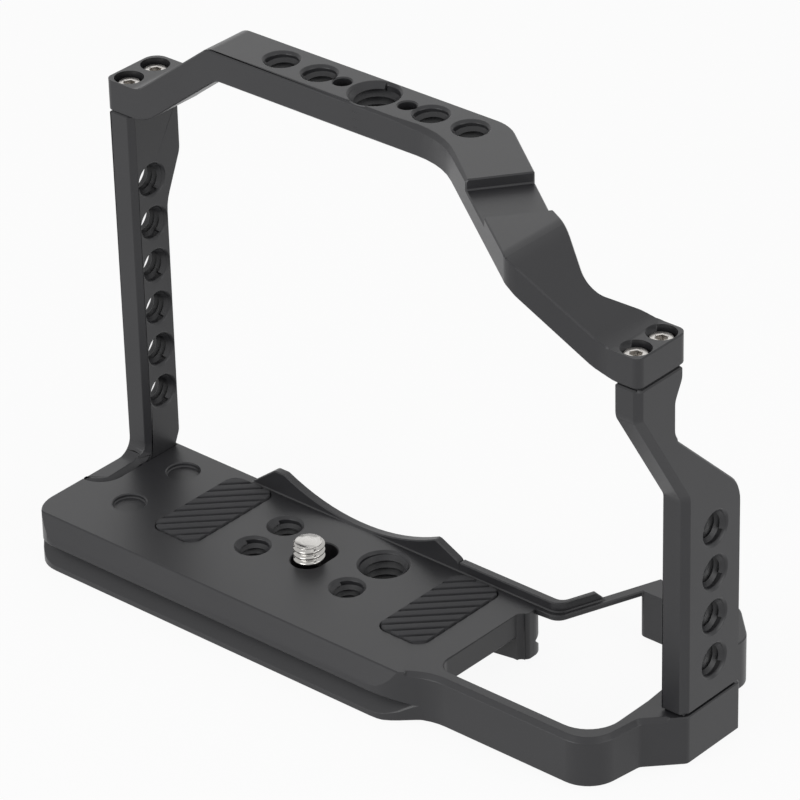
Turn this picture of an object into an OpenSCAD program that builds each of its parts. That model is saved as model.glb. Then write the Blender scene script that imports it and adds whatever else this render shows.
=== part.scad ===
// Camera cage: a dovetail base plate with an open battery bay, two uprights
// and a top bar that steps and bends round the camera's dials.
// Millimetres. +X runs along the base towards the battery bay, +Y towards the
// lens side, +Z up. z = 0 is the face the camera sits on, and the camera
// screw's axis at rest passes through the origin.

// Sub-part to draw

/* [Base plate] */
// Thickness of the base plate
plate_t = 11.5; // [10.5:0.1:12.5]
// From the camera screw to the plate's left end
plate_left = 55.9; // [53:0.1:60]
// Width across the dovetail's flanges
dovetail_w = 38; // [37.6:0.1:38.4]
// From the camera screw to the plate's lens-side edge
plate_far = 16.4; // [16:0.1:17.4]
// From the camera screw to the battery bay's left wall
bay_start = 44.4; // [43:0.1:46]
// Corner radius at the plate's near left end
plate_corner_r = 7; // [5:0.5:10]

/* [Dovetail grooves] */
// Depth from the seat to the upper edge of the V groove
groove_top = 5.9; // [5.6:0.1:6.2]
// Depth from the seat to the root of the V groove
groove_root = 7.2; // [6.8:0.1:7.5]
// Depth from the seat to the lower edge of the V groove
groove_low = 10.2; // [9.8:0.1:10.4]
// How far the V groove goes in from the flange
groove_in = 3.2; // [3:0.1:3.6]
// Width of the long chamfer on the near top edge
edge_chamfer_w = 1.6; // [1:0.1:2]
// Height of the long chamfer on the near top edge
edge_chamfer_h = 4.4; // [3.8:0.1:5]

/* [Threaded holes] */
// Major diameter of the quarter-inch camera thread
quarter_d = 6.35; // [6.3:0.05:6.4]
// Major diameter of the three-eighth-inch thread
three_eighth_d = 9.525; // [9.5:0.025:9.6]
// Radial room round a thread's major diameter
thread_gap = 0.08; // [0.05:0.01:0.15]
// Width of the chamfer at each threaded hole's mouth
mouth_chamfer = 0.5; // [0.3:0.05:0.7]
// Spacing of the threaded holes in a row
hole_pitch = 9.525; // [9:0.025:10]

/* [Camera screw] */
// Width of the slot the camera screw slides in
slot_w = 6.8; // [6.7:0.05:7.2]
// How far the screw slides towards the near side
slide_near = 0.5; // [0.3:0.1:1]
// How far the screw slides towards the lens side
slide_far = 3.3; // [2:0.1:3.6]
// How far the screw stands above the seat
screw_up = 4; // [3.5:0.1:5]
// Diameter of the camera screw's head
screw_head_d = 11; // [10:0.1:12]
// Height of the camera screw's head
screw_head_h = 3.4; // [2.8:0.1:3.6]
// Thickness of the washer that holds the screw in
washer_t = 0.8; // [0.5:0.1:1]

/* [Pads] */
// Length of each rubber pad across the plate
pad_l = 24.4; // [22:0.1:25]
// Width of each rubber pad
pad_w = 11.1; // [10:0.1:11.6]
// How deep each pad is let into the plate
pad_sunk = 0.9; // [0.6:0.1:1.5]
// How far each pad stands above the seat
pad_proud = 0.4; // [0.2:0.1:0.8]
// Grooves across each pad
pad_grooves = 11; // [8:1:13]

/* [Lens lip] */
// Height of the two humps of the lip
lip_h = 4.8; // [4:0.1:6]
// Thickness of the lip
lip_t = 1.8; // [1.4:0.1:2.2]
// Radius of the lens clearance cut into the lip
lens_r = 45; // [43:0.5:48]
// Height of the low lip beside the battery bay
low_lip_h = 2; // [1.5:0.1:2.5]

/* [Battery bay] */
// From the camera screw to the outer face of the right foot
cage_right = 91.7; // [89:0.1:95]
// Width of the near rail of the bay
near_rail_w = 3; // [2.4:0.1:3.6]
// How far the near rail is set in from the flange
near_rail_in = 4.8; // [4.4:0.1:5.4]
// Width of the right rail of the bay
right_rail_w = 2.6; // [2.4:0.1:3]
// Length of the right foot
right_foot_l = 15.4; // [15:0.1:17]
// Width of the cross bar at the bay's lens side
cross_bar_w = 7.4; // [6:0.1:8]
// From the plate's lens-side edge to the cross bar's lens side
cross_bar_out = 22.1; // [21:0.1:24]
// Thickness of the thin arm round the bay's left corner
arm_t = 1.2; // [1:0.1:2]
// Width of the thin arm
arm_w = 2.2; // [1.8:0.1:2.6]

/* [Uprights] */
// Height of the left upright above the seat
left_h = 77.2; // [74:0.1:80]
// Thickness of the left upright
left_t = 5.6; // [5:0.1:6.2]
// Width of the left upright beside its holes
left_w = 9.2; // [9:0.1:10]
// Width of the left upright at its top
left_top_w = 13.4; // [12.8:0.1:14.5]
// Height of the right upright above the seat
right_h = 75.8; // [74:0.1:78]
// Thickness of the right upright
right_t = 5.5; // [5:0.1:6.2]
// Width of the right upright beside its holes
right_w = 16.3; // [15.4:0.1:17]
// Width of the right upright at its top
right_top_w = 12.7; // [12:0.1:13.5]
// How far the right upright's top is set back
right_set_back = 13.8; // [13:0.1:15]
// Depth the left foot is let into the plate
foot_sunk = 3; // [2:0.1:3.4]

/* [Top bar] */
// Rise of the main bar's top face above the left upright
bar_top = 20.9; // [19:0.1:23]
// Thickness of the main bar
bar_t = 6.2; // [5.6:0.1:7]
// Width of the main bar
bar_w = 11.25; // [10.8:0.05:12.4]
// Thickness of the left end block
left_block_t = 6.4; // [6:0.1:7.4]
// Thickness of the right end block
right_block_t = 6.2; // [5.9:0.1:7]
// Angle at which the bar bends back in plan
bend_angle = 37.5; // [35:0.5:40]
// Depth of the step behind the main bar
step_d = 2.2; // [1.6:0.1:2.6]
// Length of the step along the bent bar
step_l = 13.8; // [10:0.1:15]

/* [Block screws] */
// Thread diameter of the block screws
block_screw_d = 3; // [2.5:0.1:3]
// Head diameter of the block screws
block_head_d = 4.8; // [4.6:0.1:5]
// Head height of the block screws
block_head_h = 2.6; // [2:0.1:3]
// How deep the heads sit below the face
head_sunk = 1; // [0.6:0.1:1.4]

/* [Hidden] */
$fn = 64;
arc_step = 9;
cut = 1;
fit = 0.3;

// Places of the plate's edges
flange_near = plate_far - dovetail_w;
plate_far_r = 3;
nose_out = 1.6;
nose_l = 5.8;
nose_x = bay_start + nose_out;
nose_y = plate_far - nose_l;
nose_r = 3.5;
nose_step_r = 1.2;

// Near rail and right side of the bay, from the near left to the far right
rail_near = flange_near + near_rail_in;
rail_blend_before = 7.2;
rail_blend_past = 1;
rail_blend_start = bay_start - rail_blend_before;
rail_blend_end = bay_start + rail_blend_past;
rail_blend_r = 12;
bay_near = rail_near + near_rail_w;
bay_right_in = 9.4;
bay_right = cage_right - bay_right_in;
bay_near_r = 7;
bay_left_r = 3.2;
foot_near_y = 2.1;
foot_far_y = foot_near_y + right_foot_l;
foot_slope = 6.5;
foot_r = 1.5;
foot_far_r = 0.75;
rail_lean = 1.2;
rail_right = bay_right + right_rail_w;
cross_far = plate_far + cross_bar_out;
cross_near = cross_far - cross_bar_w;
cross_in = 12.4;
cross_left = bay_start + cross_in;
cross_r = 5;
cross_cut = 7.8;
cross_end_r = 1.4;

// Thin arm: where it leaves the plate and how it leans
arm_bend_out = 5.6;
arm_bend_x = bay_start + arm_bend_out;
arm_lean = 21;
arm_r = 3;
arm_out_r = 2;
arm_lip_t = 1.1;
arm_lip_l = 9;

// Lens lip
lip_left = 28.4;
lip_right = 25.8;
lip_peak_share = 0.78;
lip_gap = 0.3;
lip_top_r = 1.4;

// Pads
pad_left_x = -27;
pad_right_x = 31.8;
pad_y = 1.7;
pad_r = 2.5;
pad_seam = 0.1;
pad_groove_w = 0.8;
pad_groove_d = 0.6;

// Holes in the plate
hole_left_x = -11.8;
hole_right_x = 12.75;
hole_near_y = -3.4;
big_hole_y = 7.4;
dimple_d = 6.7;
dimple_deep = 0.9;
dimple_x = -42;
dimple_near_y = -6.6;
dimple_far_y = 9;

// Camera screw
slot_wide_gap = 0.6;
axial_gap = 0.3;
washer_gap = 0.05;
screw_tip = 0.5;
neck_d = 5;
thread_start = 0.2;
drive_w = 1.6;
drive_deep = 1.4;
head_sink = 1.2;
head_room = axial_gap + washer_t + axial_gap + screw_head_h + head_sink;

// Relief under the plate beside the bay
relief_l = 7.4;
relief_near = -10.7;
relief_far = 9.6;
relief_up = 6.3;

// Underside of the bay's frame, higher than the dovetail's, and the ramp to it
bay_up = 1.1;
bay_ramp_before = 7.9;
bay_ramp_l = 7;

// Uprights
left_x = -plate_left;
left_near_y = 8;
left_hole_shift = 0.35;
left_hole_y = left_near_y + left_w / 2 + left_hole_shift;
left_hole_z = 13.8;
left_top_room = 12;
left_holes = floor((left_h - left_top_room - left_hole_z) / hole_pitch) + 1;
left_flare_drop = 22.2;
left_flare_h = 10;
left_flare_low_r = 10;
left_flare_high_r = 5;
left_flare_z = left_h - left_flare_drop;
toe_w = 4.6;
toe_l = 13.6;
toe_tip_r = 4.2;
toe_pocket_r = 5.2;
toe_fillet_r = 3.5;
toe_shoulder = 1.5;
heel_in = 1.3;
heel_z = 3;
left_toe_end = left_near_y - toe_l;
right_x = cage_right - right_t;
right_near_y = 1.1;
right_hole_shift = 0.55;
right_hole_y = right_near_y + right_w / 2 + right_hole_shift;
right_hole_z = 8.6;
right_bend_drop = 29.2;
right_back_low_drop = 29.8;
right_back_high_drop = 14.3;
right_top_drop = 6.8;
right_top_slope = 4;
right_waist = 2;
right_back_r = 6;
right_waist_r = 4;
right_bend_r = 3;
right_top_y = right_near_y - right_set_back;
right_bend_z = right_h - right_bend_drop;
right_top_z = right_h - right_top_drop;
right_back_low = right_h - right_back_low_drop;
right_back_high = right_h - right_back_high_drop;
right_holes = floor((right_back_low - right_hole_z) / hole_pitch) + 1;

// Top bar
block_l = 7.7;
rise_low_out = 1.8;
rise_angle = 37.4;
rise_low_r = 8;
rise_top_r = 4;
rise_block_r = 4;
rise_under_r = 3;
main_top = left_h + bar_top;
main_low = main_top - bar_t;
main_far_y = left_near_y + bar_w;
flare_start = 14;
flare_end = 9;
flare_r = 3;
left_block_out = 0.9;
left_block_r = 1.7;
bend_in = 62.2;
bend_x = cage_right - bend_in;
bend_near_r = 20;
bend_far_shift = 7;
bend_far_r = 9;
step_start = 18;
pad_top_drop = 0.6;
pad_top_run = 5;
drop_start_in = 23.9;
drop_end_in = 8.1;
drop_start = cage_right - drop_start_in;
drop_end = cage_right - drop_end_in;
drop_lead = 0.2;
drop_under = 0.3;
drop_out = 20.2;
drop_under_r = 4;
drop_ease = 3.3;
drop_top_r = 6;
drop_turn = atan((main_low - right_h) / (drop_end - drop_start));
drop_low_r = drop_ease / tan(drop_turn / 2);
knee_r = 3;
block_far_r = 1.6;
right_block_out = 1.35;
right_block_r = 2;
neck_in = 15.1;
neck_x = cage_right - neck_in;
neck_y = -8;
neck_r = 3.5;
neck_end_in = 0.6;
far_knee_in = 29.2;
far_knee_r = 4;
big_bar_hole_x = 8.3;
pin_d = 3.6;
pin_offset = 8;
bar_hole_offset = 13.75;

// Screws
screw_edge = 3.3;
toe_screw_edge = 2.35;
foot_screw_d = 2;
foot_head_d = 3.4;
foot_head_h = 1.8;
head_gap = 0.2;
block_head_gap = 0.55;
shank_gap = 0.1;
hex_share = 0.5;
hex_deep_share = 0.6;
thread_in = 5;
left_foot_thread = 3.4;
toe_thread = 2.3;
left_block_screw_edge = 2.6;
left_near_screw_in = 3.2;
left_far_screw_in = 2.8;
right_near_screw_in = 3.4;
right_far_screw_in = 2.1;
right_foot_screw_in = 3.6;
right_foot_thread = 4.4;
toe_screw_in = 3;
heel_screw_in = 4;
left_screw_x = left_x + screw_edge;
right_screw_x = cage_right - screw_edge;
left_foot_screws = [
  [left_x + toe_screw_edge, left_toe_end + toe_screw_in],
  [left_screw_x, left_near_y + heel_screw_in]];
right_foot_screws = [
  [right_screw_x, right_near_y + right_foot_screw_in],
  [right_screw_x, right_near_y + right_w - right_foot_screw_in]];
left_top_screws = [
  [left_x + left_block_screw_edge, left_near_y + left_near_screw_in],
  [left_x + left_block_screw_edge, left_near_y + left_top_w - left_far_screw_in]];
right_top_screws = [
  [right_screw_x, right_top_y + right_near_screw_in],
  [right_screw_x, right_top_y + right_top_w - right_far_screw_in]];

black = [0.13, 0.13, 0.14];
steel = [0.75, 0.75, 0.74];
rubber = [0.06, 0.06, 0.06];

// Outline of straight runs whose corners [x, y, radius] are rounded by arcs.
function xy(p) = [p[0], p[1]];
function unit(v) = v / norm(v);
function corner(a, b, c, r) =
  r == 0 ? [b] :
  let (u = unit(a - b),
       v = unit(c - b),
       half = acos(u * v) / 2,
       turn = 180 - 2 * half,
       mid = b + unit(u + v) * r / sin(half),
       start = b + u * r / tan(half) - mid,
       way = -sign(u[0] * v[1] - u[1] * v[0]),
       steps = max(2, ceil(turn / arc_step)))
  [for (i = [0 : steps])
    let (t = way * turn * i / steps)
    mid + [start[0] * cos(t) - start[1] * sin(t), start[0] * sin(t) + start[1] * cos(t)]];
function rounded(p) =
  let (n = len(p))
  [for (i = [0 : n - 1])
    each corner(xy(p[(i + n - 1) % n]), xy(p[i]), xy(p[(i + 1) % n]), p[i][2])];

// Extrudes an outline drawn in Y and Z along X, from x = 0.
module along_x(length) {
  rotate([90, 0, 90])
    linear_extrude(height = length)
      children();
}

// Extrudes an outline drawn in X and Z along Y, from y = 0.
module along_y(length) {
  mirror([0, 1, 0])
    rotate([90, 0, 0])
      linear_extrude(height = length)
        children();
}

// Straight bore down from z = 0 with a chamfered mouth at each end.
module threaded_bore(d, depth) {
  r = d / 2 + thread_gap;
  translate([0, 0, -depth - cut])
    cylinder(r = r, h = depth + 2 * cut);
  for (end = [0, 1])
    translate([0, 0, -end * depth])
      mirror([0, 0, end])
        translate([0, 0, -mouth_chamfer])
          cylinder(r1 = r, r2 = r + mouth_chamfer + cut, h = mouth_chamfer + cut);
}

// Slot of two round ends along Y, up from z = 0.
module slide_slot(width, height) {
  for (y = [-slide_near, slide_far])
    translate([0, y, 0])
      cylinder(d = width, h = height);
  translate([-width / 2, -slide_near, 0])
    cube([width, slide_near + slide_far, height]);
}

module plate_outline() {
  polygon(rounded([
    [-plate_left, flange_near, plate_corner_r],
    [rail_blend_start, flange_near, rail_blend_r],
    [rail_blend_end, rail_near, rail_blend_r],
    [rail_right - rail_lean, rail_near, bay_near_r],
    [rail_right + rail_lean / 2, foot_near_y - foot_slope, foot_r],
    [cage_right, foot_near_y, foot_r],
    [cage_right, foot_far_y, foot_far_r],
    [rail_right - rail_lean, foot_far_y + foot_slope, foot_r],
    [rail_right - rail_lean, cross_far - cross_cut, cross_r],
    [rail_right - rail_lean - cross_cut, cross_far, cross_r],
    [cross_left + cross_end_r, cross_far, cross_r],
    [cross_left, cross_near, cross_end_r],
    [bay_right - 2 * rail_lean, cross_near, bay_left_r],
    [bay_right, foot_near_y, bay_near_r],
    [bay_right, bay_near, bay_near_r],
    [bay_start, bay_near, bay_left_r],
    [bay_start, nose_y, nose_step_r],
    [nose_x, nose_y, nose_step_r],
    [nose_x, plate_far, nose_r],
    [-plate_left, plate_far, plate_far_r]]));
}

// Distance "out" to the right of the arm's lens-side edge, "along" it.
function on_arm(out, along) = [
  arm_bend_x + out * cos(arm_lean) + along * sin(arm_lean),
  plate_far - out * sin(arm_lean) + along * cos(arm_lean)];
// Where a line "out" from the arm's edge crosses the height y.
function arm_cross(out, y) =
  on_arm(out, (y - plate_far + out * sin(arm_lean)) / cos(arm_lean));

module arm_outline(width, along, root_w) {
  inner = arm_cross(width, plate_far - root_w);
  tip_out = on_arm(0, along);
  tip_in = on_arm(width, along);
  polygon(rounded([
    [lip_right, plate_far, 0],
    [lip_right, plate_far - root_w, 0],
    [inner[0], inner[1], arm_r],
    [tip_in[0], tip_in[1], 0],
    [tip_out[0], tip_out[1], 0],
    [arm_bend_x, plate_far, arm_out_r]]));
}

module lens_lip() {
  // Two humps with the round lens clearance between them
  translate([0, plate_far - lip_t, 0])
    along_y(lip_t)
      difference() {
        polygon(rounded([
          [-lip_left, -pad_sunk, 0],
          [-lip_left, 0, 0],
          [-lip_left * lip_peak_share, lip_h, lip_top_r],
          [lip_right * lip_peak_share, lip_h, lip_top_r],
          [lip_right, low_lip_h, lip_top_r],
          [lip_right, -pad_sunk, 0]]));
        translate([0, lens_r + lip_gap])
          circle(r = lens_r, $fn = 180);
      }
  // Low lip that runs on and turns along the thin arm
  difference() {
    translate([0, 0, -pad_sunk])
      linear_extrude(height = low_lip_h + pad_sunk)
        arm_outline(arm_lip_t, arm_lip_l, lip_t);
    end = on_arm(0, arm_lip_l);
    translate([end[0], end[1], 0])
      rotate([0, 0, -arm_lean])
        rotate([45, 0, 0])
          translate([-arm_w, 0, 0])
            cube([3 * arm_w, 2 * low_lip_h, 2 * low_lip_h]);
  }
}

module dovetail_cuts() {
  run = plate_left + nose_x + 2 * cut;
  translate([-plate_left - cut, 0, 0])
    along_x(run) {
      polygon([
        [flange_near + groove_in, -groove_root],
        [flange_near, -groove_top],
        [flange_near - cut, -groove_top],
        [flange_near - cut, -groove_low],
        [flange_near, -groove_low]]);
      polygon([
        [plate_far - groove_in, -groove_root],
        [plate_far, -groove_top],
        [plate_far + cut, -groove_top],
        [plate_far + cut, -groove_low],
        [plate_far, -groove_low]]);
      polygon([
        [flange_near + edge_chamfer_w, 0],
        [flange_near + edge_chamfer_w, cut],
        [flange_near - cut, cut],
        [flange_near - cut, -edge_chamfer_h],
        [flange_near, -edge_chamfer_h]]);
    }
}

// Pocket the left foot is let into, open at the plate's left end.
module foot_pocket(gap) {
  right = left_x + left_t + gap;
  heel = left_near_y + left_w - heel_in + gap;
  translate([0, 0, -foot_sunk])
    linear_extrude(height = foot_sunk + cut)
      polygon(rounded([
        [left_x - cut, left_toe_end - gap, 0],
        [right, left_toe_end - gap, toe_pocket_r],
        [right, heel, 0],
        [left_x - cut, heel, 0]]));
}

// The left upright in plan, with its narrower toe.
module foot_plan() {
  far = left_near_y + left_top_w + cut;
  polygon(rounded([
    [left_x - cut, left_toe_end, 0],
    [left_x + toe_w, left_toe_end, toe_tip_r],
    [left_x + toe_w, left_near_y - toe_shoulder, toe_shoulder],
    [left_x + left_t, left_near_y, toe_shoulder],
    [left_x + left_t, far, 0],
    [left_x - cut, far, 0]]));
}

module screw_way(d, head_d, head_h) {
  // Clearance hole up from the plate's underside, with a seat for the head
  cylinder(r = d / 2 + shank_gap, h = plate_t + 2 * cut);
  cylinder(r = head_d / 2 + head_gap, h = cut + head_sunk + head_h);
}

// Space under the bay's frame, down to the dovetail's underside.
module bay_underside() {
  start = bay_start - bay_ramp_before;
  translate([0, flange_near - cut, 0])
    along_y(dovetail_w + cross_bar_out + 2 * cut)
      polygon([
        [start, -plate_t],
        [start + bay_ramp_l, bay_up - plate_t],
        [cage_right + cut, bay_up - plate_t],
        [cage_right + cut, -plate_t - cut],
        [start, -plate_t - cut]]);
}

module base_plate() {
  color(black)
    difference() {
      union() {
        translate([0, 0, -plate_t])
          linear_extrude(height = plate_t)
            plate_outline();
        translate([0, 0, -arm_t])
          linear_extrude(height = arm_t)
            arm_outline(arm_w, cross_bar_out, lip_t + arm_t);
        lens_lip();
      }
      dovetail_cuts();
      translate([0, 0, -plate_t - cut]) {
        slide_slot(slot_w, plate_t + 2 * cut);
        slide_slot(screw_head_d + 2 * slot_wide_gap, head_room + cut);
      }
      for (y = [hole_near_y, hole_near_y + hole_pitch])
        translate([hole_left_x, y, 0])
          threaded_bore(quarter_d, plate_t);
      translate([hole_right_x, hole_near_y, 0])
        threaded_bore(quarter_d, plate_t);
      translate([hole_right_x, big_hole_y, 0])
        threaded_bore(three_eighth_d, plate_t);
      for (y = [dimple_near_y, dimple_far_y])
        translate([dimple_x, y, -dimple_deep])
          cylinder(d = dimple_d, h = dimple_deep + cut);
      for (x = [pad_left_x, pad_right_x])
        translate([x, pad_y, -pad_sunk])
          linear_extrude(height = pad_sunk + cut)
            pad_outline(pad_seam);
      translate([bay_start - relief_l, relief_near, -plate_t - cut])
        cube([relief_l + cut, relief_far - relief_near, relief_up + cut]);
      foot_pocket(fit / 2);
      for (p = left_foot_screws)
        translate([p[0], p[1], -plate_t - cut])
          screw_way(foot_screw_d, foot_head_d, foot_head_h);
      for (p = right_foot_screws)
        translate([p[0], p[1], bay_up - plate_t - cut])
          screw_way(block_screw_d, block_head_d, block_head_h);
      bay_underside();
    }
}

module left_upright() {
  back = left_near_y + left_w;
  color(black)
    difference() {
      intersection() {
        translate([left_x, 0, 0])
          along_x(left_t)
            polygon(rounded([
              [left_near_y, left_h, 0],
              [left_near_y, 0, toe_fillet_r],
              [left_toe_end, 0, 0],
              [left_toe_end, -foot_sunk, 0],
              [back - heel_in, -foot_sunk, 0],
              [back - heel_in, 0, 0],
              [back, heel_z, heel_z],
              [back, left_flare_z, left_flare_low_r],
              [left_near_y + left_top_w, left_flare_z + left_flare_h, left_flare_high_r],
              [left_near_y + left_top_w, left_h, 0]]));
        translate([0, 0, -foot_sunk])
          linear_extrude(height = foot_sunk + left_h + cut)
            foot_plan();
      }
      for (i = [0 : left_holes - 1])
        translate([left_x + left_t, left_hole_y, left_hole_z + i * hole_pitch])
          rotate([0, 90, 0])
            threaded_bore(quarter_d, left_t);
      for (p = left_top_screws)
        translate([p[0], p[1], left_h - thread_in - cut])
          cylinder(r = block_screw_d / 2 + shank_gap, h = thread_in + 2 * cut);
      translate([left_foot_screws[0][0], left_foot_screws[0][1], -foot_sunk - cut])
        cylinder(r = foot_screw_d / 2 + shank_gap, h = toe_thread + cut + fit);
      translate([left_foot_screws[1][0], left_foot_screws[1][1], -foot_sunk - cut])
        cylinder(r = foot_screw_d / 2 + shank_gap, h = foot_sunk + left_foot_thread + cut);
    }
}

module right_upright() {
  back = right_near_y + right_w;
  top_back = right_top_y + right_top_w;
  color(black)
    difference() {
      translate([right_x, 0, 0])
        along_x(right_t)
          polygon(rounded([
            [right_near_y, 0, 0],
            [back, 0, 0],
            [back, right_back_low, right_back_r],
            [top_back - right_waist, right_back_high, right_waist_r],
            [top_back - right_waist, right_top_z, right_bend_r],
            [top_back, right_top_z + right_top_slope, right_bend_r],
            [top_back, right_h, 0],
            [right_top_y, right_h, 0],
            [right_top_y, right_top_z, right_bend_r],
            [right_near_y, right_bend_z, right_bend_r]]));
      for (i = [0 : right_holes - 1])
        translate([right_x + right_t, right_hole_y, right_hole_z + i * hole_pitch])
          rotate([0, 90, 0])
            threaded_bore(quarter_d, right_t);
      for (p = right_top_screws)
        translate([p[0], p[1], right_h - thread_in - cut])
          cylinder(r = block_screw_d / 2 + shank_gap, h = thread_in + 2 * cut);
      for (p = right_foot_screws)
        translate([p[0], p[1], -cut])
          cylinder(r = block_screw_d / 2 + shank_gap, h = right_foot_thread + cut + fit);
    }
}

// Point "out" to the far side of the bent bar's near edge, "along" it.
function on_bend(out, along) = [
  bend_x + along * cos(bend_angle) + out * sin(bend_angle),
  left_near_y - along * sin(bend_angle) + out * cos(bend_angle)];

// The bar seen from the near side: left block, rise, main run, drop, right block.
module bar_side() {
  left_top = left_h + left_block_t;
  block_left = left_x - left_block_out;
  right_top = right_h + right_block_t;
  slope = tan(rise_angle);
  rise_x = left_x + block_l;
  rise_low_x = rise_x + rise_low_out;
  pad_x = drop_start - pad_top_run;
  polygon(rounded([
    [block_left, left_h, 0],
    [rise_low_x, left_h, rise_low_r],
    [rise_low_x + (main_low - left_h) / slope, main_low, rise_under_r],
    [drop_start - drop_under, main_low, drop_under_r],
    [drop_end, right_h, drop_low_r],
    [cage_right, right_h, 0],
    [cage_right, right_top, 0],
    [drop_end + drop_lead, right_top, drop_top_r],
    [drop_start + drop_lead, main_top - pad_top_drop, drop_top_r],
    [pad_x, main_top - pad_top_drop, 0],
    [pad_x, main_top, 0],
    [rise_x + (main_top - left_top) / slope, main_top, rise_top_r],
    [rise_x, left_top, rise_block_r],
    [block_left, left_top, 0]]));
}

// The bar seen from above: main run, bend back over the dials, right block.
module bar_plan() {
  top_back = right_top_y + right_top_w;
  block_left = left_x - left_block_out;
  block_far = left_near_y + left_top_w + left_block_out;
  block_back = top_back + right_block_out;
  polygon(rounded([
    [block_left, left_near_y, left_block_r],
    [bend_x, left_near_y, bend_near_r],
    [drop_start + drop_lead, -drop_out, knee_r],
    [drop_end, right_top_y, drop_top_r],
    [cage_right, right_top_y, block_far_r],
    [cage_right, block_back, right_block_r],
    [drop_end - neck_end_in, block_back, far_knee_r],
    [neck_x, neck_y, neck_r],
    [cage_right - far_knee_in, top_back - neck_end_in, far_knee_r],
    [bend_x + bend_far_shift, main_far_y, bend_far_r],
    [left_x + flare_start, main_far_y, flare_r],
    [left_x + flare_end, block_far, flare_r],
    [block_left, block_far, flare_r]]));
}

module top_bar() {
  color(black)
    difference() {
      intersection() {
        translate([0, right_top_y - drop_out, 0])
          along_y(drop_out + bar_w + drop_out + right_set_back)
            bar_side();
        linear_extrude(height = main_top + bar_t)
          bar_plan();
      }
      // Step behind the main bar, along the bent part
      start = on_bend(-bar_w, step_start);
      translate([start[0], start[1], main_top - step_d])
        rotate([0, 0, -bend_angle])
          cube([step_l, 3 * bar_w, step_d + cut]);
      // The pad past the step lies a little lower than the main bar
      translate([start[0], start[1], main_top - pad_top_drop])
        rotate([0, 0, -bend_angle])
          cube([3 * bar_w, 3 * bar_w, pad_top_drop + cut]);
      translate([big_bar_hole_x, left_near_y + bar_w / 2, main_top]) {
        threaded_bore(three_eighth_d, bar_t);
        for (side = [-1, 1]) {
          translate([side * pin_offset, 0, -bar_t - cut])
            cylinder(d = pin_d, h = bar_t + 2 * cut);
          for (i = [0, 1])
            translate([side * (bar_hole_offset + i * hole_pitch), 0, 0])
              threaded_bore(quarter_d, bar_t);
        }
      }
      for (p = left_top_screws)
        translate([p[0], p[1], left_h - cut])
          screw_drop(left_block_t);
      for (p = right_top_screws)
        translate([p[0], p[1], right_h - cut])
          screw_drop(right_block_t);
    }
}

// Way for a block screw down through a block, from below its underside.
module screw_drop(block_t) {
  cylinder(r = block_screw_d / 2 + shank_gap, h = block_t + 2 * cut);
  translate([0, 0, cut + block_t - head_sunk - block_head_h])
    cylinder(r = block_head_d / 2 + block_head_gap, h = head_sunk + block_head_h + cut);
}

module camera_screw() {
  head_top = head_room - plate_t - axial_gap - washer_t - axial_gap;
  head_low = head_top - screw_head_h;
  color(steel)
    difference() {
      union() {
        translate([0, 0, head_low])
          cylinder(d = screw_head_d, h = screw_head_h);
        translate([0, 0, head_low])
          cylinder(d = neck_d, h = thread_start - head_low);
        translate([0, 0, thread_start])
          cylinder(d = quarter_d, h = screw_up - screw_tip - thread_start);
        translate([0, 0, screw_up - screw_tip])
          cylinder(r1 = quarter_d / 2, r2 = quarter_d / 2 - screw_tip, h = screw_tip);
      }
      translate([-screw_head_d, -drive_w / 2, head_low - cut])
        cube([2 * screw_head_d, drive_w, drive_deep + cut]);
    }
}

module screw_washer() {
  color(steel)
    translate([0, 0, head_room - plate_t - axial_gap - washer_t])
      difference() {
        cylinder(d = screw_head_d, h = washer_t);
        translate([0, 0, -cut])
          cylinder(r = neck_d / 2 + washer_gap, h = washer_t + 2 * cut);
      }
}

module pad_outline(gap) {
  w = pad_w + 2 * gap;
  l = pad_l + 2 * gap;
  polygon(rounded([
    [-w / 2, -l / 2, pad_r],
    [w / 2, -l / 2, pad_r],
    [w / 2, l / 2, pad_r],
    [-w / 2, l / 2, pad_r]]));
}

module pad(x) {
  color(rubber)
    translate([x, pad_y, -pad_sunk])
      difference() {
        linear_extrude(height = pad_sunk + pad_proud)
          pad_outline(0);
        for (i = [0 : pad_grooves - 1])
          rotate([0, 0, 45])
            translate([-pad_l, (i - (pad_grooves - 1) / 2) * (pad_l + pad_w) / sqrt(2) / pad_grooves
              - pad_groove_w / 2, pad_sunk + pad_proud - pad_groove_d])
              cube([2 * pad_l, pad_groove_w, pad_groove_d + cut]);
      }
}

// Socket screw with its head's underside at z = 0 and its thread down -Z.
module socket_screw(d, length, head_d, head_h) {
  color(steel)
    difference() {
      union() {
        translate([0, 0, -length])
          cylinder(d = d, h = length);
        cylinder(d = head_d, h = head_h);
      }
      translate([0, 0, head_h - hex_deep_share * head_h])
        cylinder(d = hex_share * head_d, h = head_h, $fn = 6);
    }
}

module top_screw(places, i, block_low, block_t) {
  seat = block_t - head_sunk - block_head_h;
  translate([places[i][0], places[i][1], block_low + seat])
    socket_screw(block_screw_d, seat + thread_in - fit, block_head_d, block_head_h);
}

module foot_screw(p, low, d, head_d, head_h, thread_top) {
  translate([p[0], p[1], low + head_sunk + head_h])
    mirror([0, 0, 1])
      socket_screw(d, thread_top - low - head_sunk - head_h, head_d, head_h);
}

module left_foot_screw(i, thread_top) {
  foot_screw(left_foot_screws[i], -plate_t, foot_screw_d, foot_head_d, foot_head_h, thread_top);
}

module right_foot_screw(i) {
  foot_screw(right_foot_screws[i], bay_up - plate_t, block_screw_d, block_head_d, block_head_h,
    right_foot_thread);
}

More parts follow.
